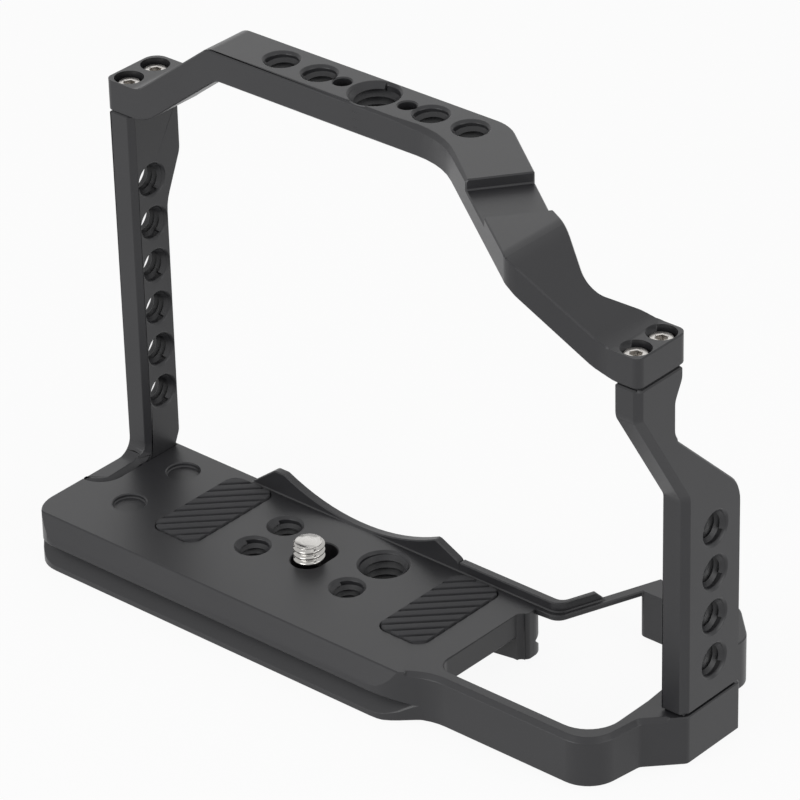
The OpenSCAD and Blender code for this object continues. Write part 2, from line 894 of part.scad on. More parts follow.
module pad_left() pad(pad_left_x);
module pad_right() pad(pad_right_x);
module top_screw_left_near() top_screw(left_top_screws, 0, left_h, left_block_t);
module top_screw_left_far() top_screw(left_top_screws, 1, left_h, left_block_t);
module top_screw_right_near() top_screw(right_top_screws, 0, right_h, right_block_t);
module top_screw_right_far() top_screw(right_top_screws, 1, right_h, right_block_t);
module foot_screw_left_near() left_foot_screw(0, toe_thread - foot_sunk);
module foot_screw_left_far() left_foot_screw(1, left_foot_thread - fit);
module foot_screw_right_near() right_foot_screw(0);
module foot_screw_right_far() right_foot_screw(1);

base_plate();
left_upright();
right_upright();
top_bar();
camera_screw();
screw_washer();
pad_left();
pad_right();
top_screw_left_near();
top_screw_left_far();
top_screw_right_near();
top_screw_right_far();
foot_screw_left_near();
foot_screw_left_far();
foot_screw_right_near();
foot_screw_right_far();
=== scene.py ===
import math
import bpy
import bmesh
from mathutils import Matrix, Vector


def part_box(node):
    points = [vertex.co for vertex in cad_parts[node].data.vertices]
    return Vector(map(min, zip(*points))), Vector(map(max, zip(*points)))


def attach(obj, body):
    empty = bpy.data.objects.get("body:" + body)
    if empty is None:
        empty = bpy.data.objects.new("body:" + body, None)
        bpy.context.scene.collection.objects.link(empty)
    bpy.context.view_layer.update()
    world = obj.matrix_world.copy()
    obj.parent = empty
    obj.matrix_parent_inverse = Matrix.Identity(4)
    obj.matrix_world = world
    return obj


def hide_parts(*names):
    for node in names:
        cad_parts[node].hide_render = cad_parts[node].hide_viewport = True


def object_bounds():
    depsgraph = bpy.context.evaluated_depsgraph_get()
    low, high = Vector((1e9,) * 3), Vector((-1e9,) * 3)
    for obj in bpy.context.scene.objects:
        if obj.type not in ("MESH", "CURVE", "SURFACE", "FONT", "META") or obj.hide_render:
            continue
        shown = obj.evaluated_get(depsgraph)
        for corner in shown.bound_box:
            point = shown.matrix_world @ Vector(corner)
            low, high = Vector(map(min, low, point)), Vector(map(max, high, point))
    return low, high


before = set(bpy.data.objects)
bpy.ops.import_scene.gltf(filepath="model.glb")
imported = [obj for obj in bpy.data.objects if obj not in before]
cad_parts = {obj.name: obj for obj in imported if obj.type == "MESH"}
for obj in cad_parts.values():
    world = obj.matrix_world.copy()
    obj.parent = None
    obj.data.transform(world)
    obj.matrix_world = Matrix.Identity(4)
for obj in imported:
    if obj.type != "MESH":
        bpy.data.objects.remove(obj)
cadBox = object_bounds()
scene = bpy.context.scene
mm = 0.001
print("frame loaded:", len(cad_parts), "nodes")


# sRGB hex as seen in the photograph, turned to the linear values the shaders use
def linear(hexColour):
    channels = [int(hexColour[i:i + 2], 16) / 255 for i in (1, 3, 5)]
    return tuple(c / 12.92 if c <= 0.04045 else ((c + 0.055) / 1.055) ** 2.4 for c in channels) + (1.0,)


# Adds one node, sets its properties and inputs, and links what is given as a socket
def addNode(tree, kind, inputs=None, **settings):
    node = tree.nodes.new(kind)
    for key, value in settings.items():
        setattr(node, key, value)
    for key, value in (inputs or {}).items():
        if isinstance(value, bpy.types.NodeSocket):
            tree.links.new(value, node.inputs[key])
        else:
            node.inputs[key].default_value = value
    return node


# Noise with grains of a given size, on the object's own coordinates
def addNoise(tree, sizeMm, detail, roughness=0.5):
    place = addNode(tree, "ShaderNodeTexCoord").outputs["Object"]
    return addNode(tree, "ShaderNodeTexNoise", {
        "Vector": place, "Scale": 1 / (sizeMm * mm), "Detail": detail, "Roughness": roughness}).outputs["Fac"]


def addRange(tree, value, low, high):
    return addNode(tree, "ShaderNodeMapRange", {
        "Value": value, "To Min": low, "To Max": high}).outputs["Result"]


def addBump(tree, height, heightMm, strength):
    return addNode(tree, "ShaderNodeBump", {
        "Height": height, "Distance": heightMm * mm, "Strength": strength}).outputs["Normal"]


def addTone(tree, factor, colour, otherColour):
    return addNode(tree, "ShaderNodeMix", {
        "Factor": factor, "A": linear(colour), "B": linear(otherColour)}, data_type="RGBA").outputs["Result"]


def newMaterial(name):
    material = bpy.data.materials.new(name)
    material.use_nodes = True
    tree = material.node_tree
    tree.nodes.clear()
    output = addNode(tree, "ShaderNodeOutputMaterial")
    return material, tree, output


def addSkin(tree, output, inputs):
    skin = addNode(tree, "ShaderNodeBsdfPrincipled", inputs)
    tree.links.new(skin.outputs["BSDF"], output.inputs["Surface"])


# Bead-blasted aluminium, anodised black: a dull satin skin, faintly grained by the
# blasting and hardly clouded
anodised = {
    "colour": "#29292b",
    "palerColour": "#2f2f31",
    "roughness": 0.38,
    "roughnessSpread": 0.08,
    "grainMm": 0.22,      # blasting grit, drawn coarser than real so that it shows
    "grainDetail": 2.0,
    "grainRoughness": 0.6,
    "grainHeightMm": 0.012,
    "grainStrength": 0.6,
    "cloudMm": 14.0,
    "cloudDetail": 3.0,
    "ior": 1.43,
}


def anodisedAluminium():
    s = anodised
    material, tree, output = newMaterial("anodisedAluminium")
    grain = addNoise(tree, s["grainMm"], s["grainDetail"], s["grainRoughness"])
    cloud = addNoise(tree, s["cloudMm"], s["cloudDetail"])
    addSkin(tree, output, {
        "Base Color": addTone(tree, cloud, s["colour"], s["palerColour"]),
        "Roughness": addRange(
            tree, grain, s["roughness"] - s["roughnessSpread"], s["roughness"] + s["roughnessSpread"]),
        "Normal": addBump(tree, grain, s["grainHeightMm"], s["grainStrength"]),
        "Metallic": 0.0, "IOR": s["ior"]})
    return material


# Nickel-plated steel, turned and polished: bright, slightly warm, with fine turning rings
# on its flat faces
nickel = {
    "colour": "#aeaca9",
    "smoothest": 0.13,
    "roughest": 0.25,
    "ringMm": 0.12,
    "ringsPerScale": 20,
    "ringDistortion": 0.4,
    "ringHeightMm": 0.003,
    "ringStrength": 0.4,
}


def nickelPlatedSteel():
    s = nickel
    material, tree, output = newMaterial("nickelPlatedSteel")
    place = addNode(tree, "ShaderNodeTexCoord").outputs["Object"]
    rings = addNode(tree, "ShaderNodeTexWave", {
        "Vector": place, "Scale": 1 / (s["ringMm"] * mm) / s["ringsPerScale"],
        "Distortion": s["ringDistortion"], "Detail": 1.0},
        wave_type="RINGS", rings_direction="Z").outputs["Fac"]
    addSkin(tree, output, {
        "Base Color": linear(s["colour"]), "Roughness": addRange(tree, rings, s["smoothest"], s["roughest"]),
        "Normal": addBump(tree, rings, s["ringHeightMm"], s["ringStrength"]), "Metallic": 1.0})
    return material


# Stainless steel socket screws, tumbled: satin and even
stainless = {
    "colour": "#c9c6c2",
    "smoothest": 0.21,
    "roughest": 0.37,
    "grainMm": 0.15,
    "grainDetail": 2.0,
    "grainHeightMm": 0.004,
    "grainStrength": 0.5,
}


def stainlessSteel():
    s = stainless
    material, tree, output = newMaterial("stainlessSteel")
    grain = addNoise(tree, s["grainMm"], s["grainDetail"])
    addSkin(tree, output, {
        "Base Color": linear(s["colour"]), "Roughness": addRange(tree, grain, s["smoothest"], s["roughest"]),
        "Normal": addBump(tree, grain, s["grainHeightMm"], s["grainStrength"]), "Metallic": 1.0})
    return material


# Moulded nitrile rubber: dead matt, a fine moulded tooth, no metal in it
rubber = {
    "colour": "#2a2a2c",
    "palerColour": "#343436",
    "roughness": 0.78,
    "toothMm": 0.3,
    "toothDetail": 3.0,
    "toothHeightMm": 0.02,
    "toothStrength": 0.6,
}


def mouldedRubber():
    s = rubber
    material, tree, output = newMaterial("mouldedRubber")
    tooth = addNoise(tree, s["toothMm"], s["toothDetail"])
    addSkin(tree, output, {
        "Base Color": addTone(tree, tooth, s["colour"], s["palerColour"]), "Roughness": s["roughness"],
        "Normal": addBump(tree, tooth, s["toothHeightMm"], s["toothStrength"])})
    return material


anodisedSkin = anodisedAluminium()
nickelSkin = nickelPlatedSteel()
stainlessSkin = stainlessSteel()
rubberSkin = mouldedRubber()
print("materials made")


def placePiece(name, mesh, material, body, replaced=()):
    mesh.materials.clear()
    mesh.materials.append(material)
    piece = bpy.data.objects.new(name, mesh)
    scene.collection.objects.link(piece)
    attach(piece, body)
    if replaced:
        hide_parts(*replaced)


joining = {"meshMm": 0.002, "cutMm": 0.01, "planeDegrees": 0.4}


# Joins a mesh's loose corners and, where planes is true, the triangles that lie in one plane
def joined(mesh, reachMm, planes):
    bm = bmesh.new()
    bm.from_mesh(mesh)
    bmesh.ops.remove_doubles(bm, verts=bm.verts, dist=reachMm * mm)
    bmesh.ops.dissolve_degenerate(bm, edges=bm.edges, dist=reachMm * mm)
    if planes:
        bmesh.ops.dissolve_limit(
            bm, angle_limit=math.radians(joining["planeDegrees"]), verts=bm.verts, edges=bm.edges)
    bm.to_mesh(mesh)
    bm.free()
    return mesh


def mergedCopy(node, planes=True):
    return joined(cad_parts[node].data.copy(), joining["meshMm"], planes)


# Which edges are broken: sharp ones fully, a chamfer's own edges a little, flatter ones not
breaking = {"chamferDegrees": 28, "sharpDegrees": 50, "chamferShare": 0.3}


# Marks how much each edge is broken; the ones in tight places, boxes in millimetres, aren't
def weighEdges(mesh, tight=()):
    bm = bmesh.new()
    bm.from_mesh(mesh)
    share = bm.edges.layers.float.new("bevel_weight_edge")
    for edge in bm.edges:
        turn = math.degrees(edge.calc_face_angle(0))
        middle = (edge.verts[0].co + edge.verts[1].co) / 2 / mm
        inTight = any(all(low[i] < middle[i] < high[i] for i in range(3)) for low, high in tight)
        if turn < breaking["chamferDegrees"] or inTight:
            continue
        edge[share] = 1.0 if turn > breaking["sharpDegrees"] else breaking["chamferShare"]
    bm.to_mesh(mesh)
    bm.free()
    return mesh


# Applies the modifiers given as (kind, settings) and returns the finished mesh
def finished(mesh, modifiers):
    holder = bpy.data.objects.new("holder", mesh)
    scene.collection.objects.link(holder)
    for kind, settings in modifiers:
        modifier = holder.modifiers.new(kind, kind)
        for key, value in settings.items():
            setattr(modifier, key, value)
    graph = bpy.context.evaluated_depsgraph_get()
    result = bpy.data.meshes.new_from_object(holder.evaluated_get(graph))
    bpy.data.objects.remove(holder)
    return result


def edgeBreak(widthMm, segments):
    return ("BEVEL", {
        "width": widthMm * mm, "segments": segments, "limit_method": "WEIGHT",
        "use_clamp_overlap": False, "loop_slide": False})


def softShading(mesh, degrees):
    mesh.shade_smooth()
    mesh.set_sharp_from_angle(angle=math.radians(degrees))


# Flat faces stay flat and fillets smooth: normals go by face area between the sharp edges
def crispShading(mesh, degrees):
    softShading(mesh, degrees)
    return finished(mesh, [("WEIGHTED_NORMAL", {"keep_sharp": True, "weight": 100})])


# A run of straight lines through corners (u, v, radius), rounded as the solids' arcs are
def roundedRun(corners, arcStep=9):
    points = [Vector(corners[0][:2])]
    for before, corner, after in zip(corners, corners[1:], corners[2:]):
        here = Vector(corner[:2])
        u = (Vector(before[:2]) - here).normalized()
        v = (Vector(after[:2]) - here).normalized()
        half = math.acos(u.dot(v)) / 2
        turn = math.pi - 2 * half
        middle = here + (u + v).normalized() * corner[2] / math.sin(half)
        start = here + u * corner[2] / math.tan(half) - middle
        way = -math.copysign(1, u.x * v.y - u.y * v.x)
        steps = max(2, math.ceil(math.degrees(turn) / arcStep))
        for k in range(steps + 1):
            points.append(middle + Matrix.Rotation(way * turn * k / steps, 2) @ start)
    return points + [Vector(corners[-1][:2])]


# Rows of a chamfer along such a run: edge point, inwards along each of its two faces, width.
# "top" lies at height z with the other face upright, "side" at x with the other along X
def chamferRows(plane, at, corners, side, widthMm):
    points = roundedRun(corners)
    normals = [Vector((-(b - a).y, (b - a).x)).normalized() * side for a, b in zip(points, points[1:])]
    mitres = [normals[0]]
    for one, other in zip(normals, normals[1:]):
        middle = (one + other).normalized()
        mitres.append(middle / middle.dot(one))
    mitres.append(normals[-1])
    if plane == "top":
        return [(Vector((p.x, p.y, at)), Vector((n.x, n.y, 0)), Vector((0, 0, -1)), widthMm)
                for p, n in zip(points, mitres)]
    return [(Vector((at, p.x, p.y)), Vector((0, n.x, n.y)), Vector((-1, 0, 0)), widthMm)
            for p, n in zip(points, mitres)]


# Three-sided bar swept along the rows; taken from a part it leaves a flat chamfer
def addChamferBar(bm, rows, overMm=0.4):
    rings = []
    for edge, a, b, widthMm in rows:
        corners = (
            edge + a * (widthMm + overMm) - b * overMm,
            edge + b * (widthMm + overMm) - a * overMm,
            edge - (a + b) * overMm)
        rings.append([bm.verts.new(c * mm) for c in corners])
    for low, high in zip(rings, rings[1:]):
        for i in range(3):
            j = (i + 1) % 3
            bm.faces.new((low[i], low[j], high[j]))
            bm.faces.new((low[i], high[j], high[i]))
    bm.faces.new(list(reversed(rings[0])))
    bm.faces.new(rings[-1])


# Outline of points (y, z), drawn out along X
def addPrism(bm, outline, low, high):
    ends = [[bm.verts.new(Vector((x, p[0], p[1])) * mm) for p in outline] for x in (low, high)]
    for i in range(len(outline)):
        j = (i + 1) % len(outline)
        bm.faces.new((ends[0][i], ends[0][j], ends[1][j], ends[1][i]))
    bm.faces.new(list(reversed(ends[0])))
    bm.faces.new(ends[1])


def addBox(bm, low, high):
    size = Vector(high) - Vector(low)
    place = Matrix.Translation((Vector(low) + size / 2) * mm) @ Matrix.Diagonal((size * mm).to_4d())
    bmesh.ops.create_cube(bm, size=1, matrix=place)


# Takes each cutter, given as the function that adds it and what that needs, away in turn
def withCuts(mesh, cuts, planes):
    for add, *given in cuts:
        bm = bmesh.new()
        add(bm, *given)
        bmesh.ops.recalc_face_normals(bm, faces=bm.faces)
        cutterMesh = bpy.data.meshes.new("cutter")
        bm.to_mesh(cutterMesh)
        bm.free()
        cutter = bpy.data.objects.new("cutter", cutterMesh)
        scene.collection.objects.link(cutter)
        cut = ("BOOLEAN", {"operation": "DIFFERENCE", "solver": "EXACT", "object": cutter})
        mesh = joined(finished(mesh, [cut]), joining["cutMm"], planes)
        bpy.data.objects.remove(cutter)
    return mesh


# Machined aluminium parts: every edge broken as a tumbled and blasted part's is, with the
# milled chamfers on the long edges and the shadow gaps where the uprights meet their seats
machined = {
    "base_plate": {
        "edgeMm": 0.22,
        "railChamferMm": 0.9,
        "topZ": 0,
        "railRun": [
            (41.2, -19.26, 0), (45.4, -16.8, 12), (83.7, -16.8, 7), (85.5, -4.4, 1.5), (89.2, -0.52, 0)],
        "tight": [((-57, -7, -3.2), (-49, 17, 0.2)), ((43, 9, -13), (48, 17, 1))],
    },
    "top_bar": {
        "edgeMm": 0.26,
        "barChamferMm": 0.5,
        "bendChamferMm": 0.9,
        "widensFromX": 17,
        "topZ": 98.1,
        "bendRun": [(-41.5, 8, 0), (29.5, 8, 20), (44.2, -3.27, 0)],
        "tight": [((-58, 7, 76), (-48, 23, 85)), ((85, -14, 78), (91.6, 1.9, 83))],
    },
    "left_upright": {
        "edgeMm": 0.3,
        "planes": False,      # joined triangles would close over its row of holes
        "innerChamferMm": 1.1,
        "innerTop": (-50.3, 8, 77.6),
        "fillet": {
            "middleY": 4.5, "middleZ": 3.5, "radiusMm": 3.5,
            "xAtDegrees": [(0, -50.3), (30, -50.5), (60, -51.25), (90, -51.3)]},
        "tip": {"middle": (-55.5, -1.4, 0), "radiusMm": 4.2, "chamferShare": 0.8, "stepDegrees": 15},
        "gaps": [((-51, 6, 76.9), (-49, 24, 78)), ((-57, 7, 76.9), (-49, 8.7, 78))],
    },
    "right_upright": {
        "edgeMm": 0.3,
        "outerChamferMm": 1.25,
        "outerX": 91.7,
        "outerRun": [(1.1, -0.6, 0), (1.1, 46.6, 3), (-12.7, 69, 3), (-12.7, 76.4, 0)],
        "shoulder": [(-1.2, 60.52, 0), (17.41, 43.17, 8), (17.41, 33.0, 0)],
        "aboveShoulder": [(20, 33), (20, 66), (-1.2, 66)],
        "shoulderX": (85, 93),
        "gaps": [
            ((90.9, 0, -1), (93, 18, 0.5)), ((85, 0, -1), (93, 1.9, 0.3)),
            ((90.9, -14, 75.3), (93, 1, 77)), ((85, -14, 75.5), (93, -11.9, 77))],
    },
}
machinedSmoothDegrees = 19


# Near edge of the top bar: a narrow chamfer, wider from a little before the bend
def barEdgeRows(s):
    bend = chamferRows("top", s["topZ"], s["bendRun"], 1, s["bendChamferMm"])
    edge, inwards, down, _ = bend[0]
    narrow = [(Vector((x, edge.y, edge.z)), inwards, down, s["barChamferMm"])
              for x in (edge.x, s["widensFromX"])]
    return narrow + bend[1:]


# Inner near edge of the left upright, down into its fillet and along the toe, round its tip
def toeEdgeRows(s):
    widthMm, fillet, tip = s["innerChamferMm"], s["fillet"], s["tip"]
    inX = Vector((-1, 0, 0))
    rows = [(Vector(s["innerTop"]), Vector((0, 1, 0)), inX, widthMm)]
    for degrees, x in fillet["xAtDegrees"]:
        c, d = math.cos(math.radians(degrees)), math.sin(math.radians(degrees))
        edge = Vector((x, fillet["middleY"] + fillet["radiusMm"] * c, fillet["middleZ"] - fillet["radiusMm"] * d))
        rows.append((edge, Vector((0, c, -d)), inX, widthMm))
    for degrees in range(0, 91, tip["stepDegrees"]):
        out = Vector((math.cos(math.radians(-degrees)), math.sin(math.radians(-degrees)), 0))
        edge = Vector(tip["middle"]) + out * tip["radiusMm"]
        rows.append((edge, Vector((0, 0, -1)), -out, widthMm * tip["chamferShare"]))
    return rows


def cutsFor(node, s):
    cuts = []
    if node == "base_plate":
        rail = chamferRows("top", s["topZ"], s["railRun"], 1, s["railChamferMm"])
        cuts.append((addChamferBar, rail))
    elif node == "top_bar":
        cuts.append((addChamferBar, barEdgeRows(s)))
    elif node == "left_upright":
        cuts.append((addChamferBar, toeEdgeRows(s)))
    else:
        outer = chamferRows("side", s["outerX"], s["outerRun"], -1, s["outerChamferMm"])
        cuts.append((addChamferBar, outer))
        cuts.append((addPrism, roundedRun(s["shoulder"]) + s["aboveShoulder"], *s["shoulderX"]))
    return cuts + [(addBox, low, high) for low, high in s.get("gaps", [])]


for node, s in machined.items():
    planes = s.get("planes", True)
    mesh = withCuts(mergedCopy(node, planes), cutsFor(node, s), planes)
    mesh = finished(weighEdges(mesh, s.get("tight", [])), [edgeBreak(s["edgeMm"], 1)])
    mesh = crispShading(mesh, machinedSmoothDegrees)
    placePiece(node.replace("_", "") + "Finished", mesh, anodisedSkin, "cage", [node])
print("machined parts finished")


# Thread ridges in the bores, a helix of a rounded V section on each hole's axis
threads = {
    "quarter": {"boreMm": 3.255, "pitchMm": 1.27, "ridgeMm": 0.7},
    "threeEighth": {"boreMm": 4.8425, "pitchMm": 1.5875, "ridgeMm": 0.86},
    "stepsPerTurn": 36,
    "endGapMm": 0.95,
    "smoothDegrees": 50,
}
# For each row of bores: thread, axis, thickness of the wall and the middles
threadedBores = {
    "plateQuarter": ("quarter", "Z", 11.5, [(-11.8, -3.4, -5.75), (-11.8, 6.125, -5.75), (12.75, -3.4, -5.75)]),
    "plateThreeEighth": ("threeEighth", "Z", 11.5, [(12.75, 7.4, -5.75)]),
    "leftQuarter": ("quarter", "X", 5.6, [(-53.1, 12.95, 13.8 + 9.525 * i) for i in range(6)]),
    "rightQuarter": ("quarter", "X", 5.5, [(88.95, 9.8, 8.6 + 9.525 * i) for i in range(4)]),
    "barQuarter": ("quarter", "Z", 6.2, [(8.3 + s * d, 13.625, 95) for s in (-1, 1) for d in (13.75, 23.275)]),
    "barThreeEighth": ("threeEighth", "Z", 6.2, [(8.3, 13.625, 95)]),
}


def threadTree():
    tree = bpy.data.node_groups.new("boreThreads", "GeometryNodeTree")
    sockets = {}
    for name, kind in (("Geometry", "NodeSocketGeometry"), ("Bore Radius", "NodeSocketFloat"),
                       ("Pitch", "NodeSocketFloat"), ("Ridge", "NodeSocketFloat"),
                       ("Length", "NodeSocketFloat"), ("Steps per Turn", "NodeSocketInt"),
                       ("Turn", "NodeSocketVector"), ("Finish", "NodeSocketMaterial")):
        sockets[name] = tree.interface.new_socket(name=name, in_out="INPUT", socket_type=kind).identifier
    tree.interface.new_socket(name="Geometry", in_out="OUTPUT", socket_type="NodeSocketGeometry")
    given = addNode(tree, "NodeGroupInput").outputs
    turns = addNode(tree, "ShaderNodeMath", {0: given["Length"], 1: given["Pitch"]}, operation="DIVIDE")
    helix = addNode(tree, "GeometryNodeCurveSpiral", {
        "Resolution": given["Steps per Turn"], "Rotations": turns.outputs[0],
        "Start Radius": given["Bore Radius"], "End Radius": given["Bore Radius"],
        "Height": given["Length"]})
    half = addNode(tree, "ShaderNodeMath", {0: given["Length"], 1: -0.5}, operation="MULTIPLY")
    drop = addNode(tree, "ShaderNodeCombineXYZ", {"Z": half.outputs[0]})
    centred = addNode(tree, "GeometryNodeTransform", {
        "Geometry": helix.outputs["Curve"], "Translation": drop.outputs[0]})
    upright = addNode(tree, "GeometryNodeSetCurveNormal", {"Curve": centred.outputs[0]}, mode="Z_UP")
    section = addNode(tree, "GeometryNodeCurvePrimitiveCircle", {
        "Resolution": 4, "Radius": given["Ridge"]}, mode="RADIUS")
    ridge = addNode(tree, "GeometryNodeCurveToMesh", {
        "Curve": upright.outputs[0], "Profile Curve": section.outputs["Curve"], "Fill Caps": True})
    places = addNode(tree, "GeometryNodeMeshToPoints", {"Mesh": given["Geometry"]})
    turn = addNode(tree, "FunctionNodeEulerToRotation", {"Euler": given["Turn"]})
    copies = addNode(tree, "GeometryNodeInstanceOnPoints", {
        "Points": places.outputs["Points"], "Instance": ridge.outputs["Mesh"],
        "Rotation": turn.outputs["Rotation"]})
    whole = addNode(tree, "GeometryNodeRealizeInstances", {"Geometry": copies.outputs["Instances"]})
    coated = addNode(tree, "GeometryNodeSetMaterial", {
        "Geometry": whole.outputs["Geometry"], "Material": given["Finish"]})
    addNode(tree, "NodeGroupOutput", {"Geometry": coated.outputs["Geometry"]})
    return tree, sockets


ridgeTree, ridgeSockets = threadTree()


def boreThreads(name, size, along, wallMm, places):
    points = bpy.data.meshes.new(name)
    points.from_pydata([[c * mm for c in p] for p in places], [], [])
    holder = bpy.data.objects.new(name, points)
    scene.collection.objects.link(holder)
    modifier = holder.modifiers.new("threads", "NODES")
    modifier.node_group = ridgeTree
    s = threads[size]
    values = {
        "Bore Radius": s["boreMm"] * mm, "Pitch": s["pitchMm"] * mm, "Ridge": s["ridgeMm"] * mm,
        "Length": (wallMm - 2 * threads["endGapMm"]) * mm, "Steps per Turn": threads["stepsPerTurn"],
        "Turn": (0.0, math.pi / 2, 0.0) if along == "X" else (0.0, 0.0, 0.0), "Finish": anodisedSkin}
    for key, value in values.items():
        modifier[ridgeSockets[key]] = value
    graph = bpy.context.evaluated_depsgraph_get()
    mesh = bpy.data.meshes.new_from_object(holder.evaluated_get(graph))
    bpy.data.objects.remove(holder)
    softShading(mesh, threads["smoothDegrees"])
    placePiece(name + "Threads", mesh, anodisedSkin, "cage")


for name, (size, along, wallMm, places) in threadedBores.items():
    boreThreads(name, size, along, wallMm, places)
print("threads cut")


# Camera screw: the turned head and neck, and a rolled quarter-inch thread with a
# chamfered tip
cameraScrew = {
    "majorMm": 3.175,
    "rootMm": 2.62,
    "pitchMm": 1.27,
    "crestPower": 0.75,
    "headEndsMm": 0.1,
    "startMm": 0.12,
    "tipMm": 4.0,
    "tipChamferMm": 0.5,
    "tipSlope": 1.1,
    "steps": 96,
    "rowsPerTurn": 20,
    "edgeMm": 0.25,
    "edgeSegments": 2,
    "smoothDegrees": 40,
}


def threadRadius(s, angle, height):
    phase = (height / s["pitchMm"] - angle / (2 * math.pi)) % 1.0
    crest = 0.5 - 0.5 * math.cos(2 * math.pi * phase)
    radius = s["rootMm"] + (s["majorMm"] - s["rootMm"]) * crest ** s["crestPower"]
    fromTip = s["tipMm"] - height
    if fromTip < s["tipChamferMm"] * 2:
        radius = min(radius, s["majorMm"] - s["tipChamferMm"] + fromTip * s["tipSlope"])
    return radius


# A ring of corners round (x, y) at a height; its radius is a number or goes by the angle
def addRing(bm, steps, radius, x, y, height):
    ring = []
    for step in range(steps):
        angle = 2 * math.pi * step / steps
        reach = radius(angle) if callable(radius) else radius
        ring.append(bm.verts.new((x + reach * math.cos(angle), y + reach * math.sin(angle), height)))
    return ring


def cameraScrewMesh():
    s = cameraScrew
    head = edgeBreak(s["edgeMm"], s["edgeSegments"])
    mesh = finished(weighEdges(mergedCopy("camera_screw")), [head])
    bm = bmesh.new()
    bm.from_mesh(mesh)
    cut = bmesh.ops.bisect_plane(
        bm, geom=bm.verts[:] + bm.edges[:] + bm.faces[:], dist=1e-7,
        plane_co=(0, 0, s["headEndsMm"] * mm), plane_no=(0, 0, 1), clear_outer=True)
    rim = [e for e in cut["geom_cut"] if isinstance(e, bmesh.types.BMEdge)]
    bmesh.ops.contextual_create(bm, geom=rim)
    rows = int((s["tipMm"] - s["startMm"]) / s["pitchMm"] * s["rowsPerTurn"])
    rings = [addRing(bm, s["steps"], s["rootMm"] * mm, 0, 0, s["startMm"] * mm)]
    for row in range(1, rows + 1):
        height = s["startMm"] + (s["tipMm"] - s["startMm"]) * row / rows
        rings.append(addRing(
            bm, s["steps"], lambda angle: threadRadius(s, angle, height) * mm, 0, 0, height * mm))
    for low, high in zip(rings, rings[1:]):
        for step in range(s["steps"]):
            after = (step + 1) % s["steps"]
            bm.faces.new((low[step], low[after], high[after], high[step]))
    bm.faces.new(rings[-1])
    bm.faces.new(list(reversed(rings[0])))
    bmesh.ops.recalc_face_normals(bm, faces=bm.faces)
    bm.to_mesh(mesh)
    bm.free()
    softShading(mesh, s["smoothDegrees"])
    return mesh


placePiece("cameraScrewThreaded", cameraScrewMesh(), nickelSkin, "screw", ["camera_screw"])
print("camera screw threaded")


# Socket screws: a head with a turned chamfer and a hexagon recess
socketScrews = {
    "headMm": {"top": 2.6, "foot_left": 1.8, "foot_right": 2.6},
    "shankMm": {"top": 1.5, "foot_left": 1.0, "foot_right": 1.5},
    "tipShare": 0.8,
    "tipChamferMm": 0.25,
    "chamferMm": 0.45,
    "crownInShare": 0.5,
    "crownDropShare": 0.13,
    "socketShare": 0.5,
    "socketDeepShare": 0.6,
    "socketConeShare": 0.3,
    "mouthMm": 0.14,
    "steps": 48,
    "smoothDegrees": 32,
}


# Radius of a hexagon by the angle, from the distance to its flats
def hexagon(flat):
    return lambda angle: flat / math.cos((angle % (math.pi / 3)) - math.pi / 6)


def socketScrewMesh(node):
    s = socketScrews
    low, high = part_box(node)
    middle = (low + high) / 2
    top = node.startswith("top")
    kind = "top" if top else node[:node.rindex("_")].replace("screw_", "")
    up = 1 if top else -1
    crown, tip = (high.z, low.z) if top else (low.z, high.z)
    headR, headH, shankR = (high.x - low.x) / 2, s["headMm"][kind] * mm, s["shankMm"][kind] * mm
    flat = s["socketShare"] * headR * math.cos(math.pi / 6)
    mouth, chamfer, deep = s["mouthMm"] * mm, s["chamferMm"] * mm, s["socketDeepShare"] * headH
    outline = [
        (0.0, tip), (shankR * s["tipShare"], tip), (shankR, tip + up * s["tipChamferMm"] * mm),
        (shankR, crown - up * headH), (headR, crown - up * headH), (headR, crown - up * chamfer),
        (headR - chamfer * s["crownInShare"], crown - up * chamfer * s["crownDropShare"]),
        (headR - chamfer, crown), (hexagon(flat + mouth), crown),
        (hexagon(flat), crown - up * mouth), (hexagon(flat), crown - up * deep),
        (0.0, crown - up * (deep + flat * s["socketConeShare"]))]
    bm = bmesh.new()
    rings = []
    for radius, height in outline:
        if radius == 0.0:
            rings.append([bm.verts.new((middle.x, middle.y, height))])
        else:
            rings.append(addRing(bm, s["steps"], radius, middle.x, middle.y, height))
    for a, b in zip(rings, rings[1:]):
        for step in range(s["steps"]):
            after = (step + 1) % s["steps"]
            corners = [a[step % len(a)], a[after % len(a)], b[after % len(b)], b[step % len(b)]]
            bm.faces.new(list(dict.fromkeys(corners)))
    bmesh.ops.recalc_face_normals(bm, faces=bm.faces)
    mesh = bpy.data.meshes.new(node)
    bm.to_mesh(mesh)
    bm.free()
    softShading(mesh, s["smoothDegrees"])
    return mesh


for node in sorted(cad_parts):
    if node.startswith(("top_screw", "foot_screw")):
        name = node.replace("_", "") + "Socket"
        placePiece(name, socketScrewMesh(node), stainlessSkin, "cage", [node])
print("socket screws made")


# Rubber pads: moulded, so the lands between the grooves have rounded edges
pads = {"edgeMm": 0.16, "edgeSegments": 3, "smoothDegrees": 60}
for node in ("pad_left", "pad_right"):
    mesh = finished(weighEdges(mergedCopy(node)), [edgeBreak(pads["edgeMm"], pads["edgeSegments"])])
    softShading(mesh, pads["smoothDegrees"])
    placePiece(node.replace("_", "") + "Moulded", mesh, rubberSkin, "cage", [node])
print("pads moulded")


# The washer keeps its own mesh and takes the screw's plating
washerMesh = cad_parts["screw_washer"].data
washerMesh.materials.clear()
washerMesh.materials.append(nickelSkin)
print("washer plated")


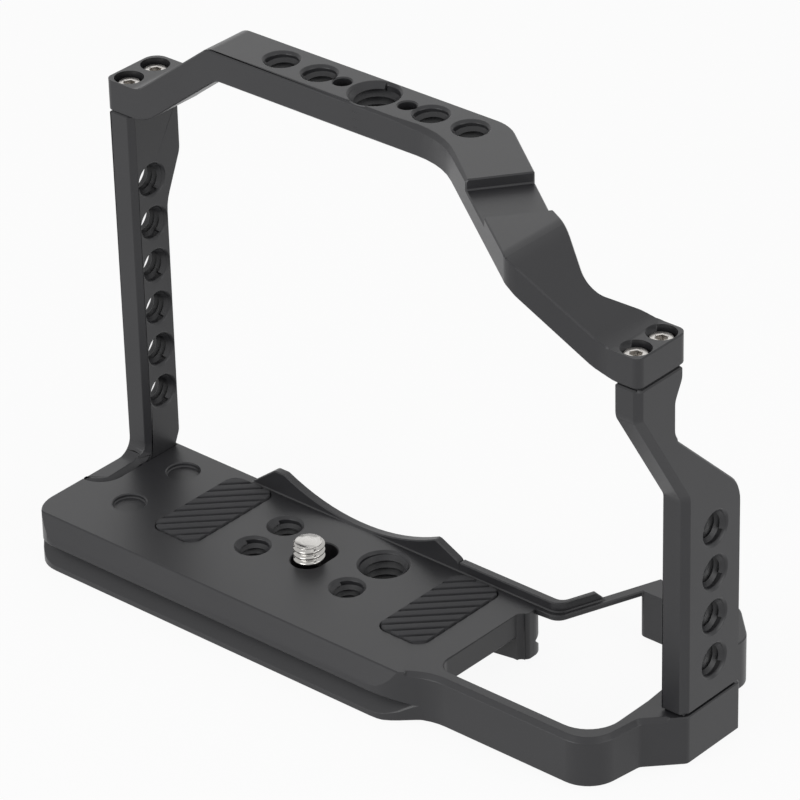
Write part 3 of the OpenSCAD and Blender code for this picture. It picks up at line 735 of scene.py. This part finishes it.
# One for rays of the given kinds and zero for the others
def rayShare(tree, kinds):
    seen = addNode(tree, "ShaderNodeLightPath").outputs
    share = seen[kinds[0]]
    for kind in kinds[1:]:
        share = addNode(tree, "ShaderNodeMath", {0: share, 1: seen[kind]}, operation="MAXIMUM").outputs[0]
    return share


# Floor: pale card that the camera and gloss see as white, with a little of the shadow
floorLook = {"size": 6.0, "gapMm": 0.02, "whiteShare": 0.93, "colour": "#f4f4f4"}


def studioFloor():
    s = floorLook
    material, tree, output = newMaterial("paleCard")
    anyRay = rayShare(tree, ("Is Camera Ray", "Is Glossy Ray", "Is Transmission Ray"))
    share = addNode(tree, "ShaderNodeMath", {0: anyRay, 1: s["whiteShare"]}, operation="MULTIPLY")
    card = addNode(tree, "ShaderNodeBsdfDiffuse", {"Color": linear(s["colour"])})
    white = addNode(tree, "ShaderNodeEmission", {"Color": (1, 1, 1, 1), "Strength": 1.0})
    mixed = addNode(tree, "ShaderNodeMixShader", {
        0: share.outputs[0], 1: card.outputs[0], 2: white.outputs[0]})
    tree.links.new(mixed.outputs[0], output.inputs["Surface"])
    mesh = bpy.data.meshes.new("floor")
    half = s["size"] / 2
    low = cadBox[0][2] - s["gapMm"] * mm
    corners = [(-half, -half, low), (half, -half, low), (half, half, low), (-half, half, low)]
    mesh.from_pydata(corners, [], [(0, 1, 2, 3)])
    mesh.materials.append(material)
    floor = bpy.data.objects.new("floor", mesh)
    scene.collection.objects.link(floor)


studioFloor()
print("floor laid")


# Room: soft white all round for the camera and for gloss, dimmer as a light
room = {"fill": 0.3, "seen": 1.0}


def studioRoom():
    world = bpy.data.worlds.new("room")
    scene.world = world
    world.use_nodes = True
    tree = world.node_tree
    tree.nodes.clear()
    level = addRange(tree, rayShare(tree, ("Is Camera Ray", "Is Glossy Ray")), room["fill"], room["seen"])
    light = addNode(tree, "ShaderNodeBackground", {"Color": (1, 1, 1, 1), "Strength": level})
    addNode(tree, "ShaderNodeOutputWorld", {"Surface": light.outputs[0]})


studioRoom()

# Softboxes, square, all turned to the same point
softboxAim = (0.015, 0.0, 0.04)
softboxes = {
    "overhead": {"at": (0.0, 0.12, 0.9), "size": 0.85, "watts": 0.9},
    "right": {"at": (0.86, 0.02, 0.34), "size": 0.6, "watts": 2.6},
    "near": {"at": (-0.12, -0.86, 0.30), "size": 0.6, "watts": 4.2},
    "backLeft": {"at": (-0.60, 0.62, 0.34), "size": 0.6, "watts": 0.5},
}
for name, s in softboxes.items():
    lamp = bpy.data.lights.new(name, "AREA")
    lamp.shape = "SQUARE"
    lamp.size = s["size"]
    lamp.energy = s["watts"]
    box = bpy.data.objects.new(name, lamp)
    scene.collection.objects.link(box)
    towards = Vector(softboxAim) - Vector(s["at"])
    box.rotation_euler = towards.to_track_quat("-Z", "Y").to_euler()
    box.location = s["at"]
print("lights set")


# Camera: found from the photograph, its three axes written as rows
view = {
    "atMm": (557.628, -600.694, 506.010),
    "right": (0.75646719, 0.65363282, -0.02283673),
    "down": (0.31092752, -0.390125, -0.86667558),
    "forward": (-0.57539679, 0.64851108, -0.4983492),
    "focalPixels": 4944.98,
    "framePixels": 800,
    "sensorMm": 36.0,
    "nearest": 0.05,
    "farthest": 20.0,
}


def photoCamera():
    s = view
    data = bpy.data.cameras.new("camera")
    data.sensor_width = s["sensorMm"]
    data.lens = s["focalPixels"] / s["framePixels"] * s["sensorMm"]
    data.clip_start = s["nearest"]
    data.clip_end = s["farthest"]
    camera = bpy.data.objects.new("camera", data)
    scene.collection.objects.link(camera)
    axes = Matrix((s["right"], [-c for c in s["down"]], [-c for c in s["forward"]])).transposed()
    camera.matrix_world = Matrix.Translation([c * mm for c in s["atMm"]]) @ axes.to_4x4()
    scene.camera = camera


photoCamera()
scene.view_settings.view_transform = "Standard"
print("camera placed")

bpy.context.view_layer.update()
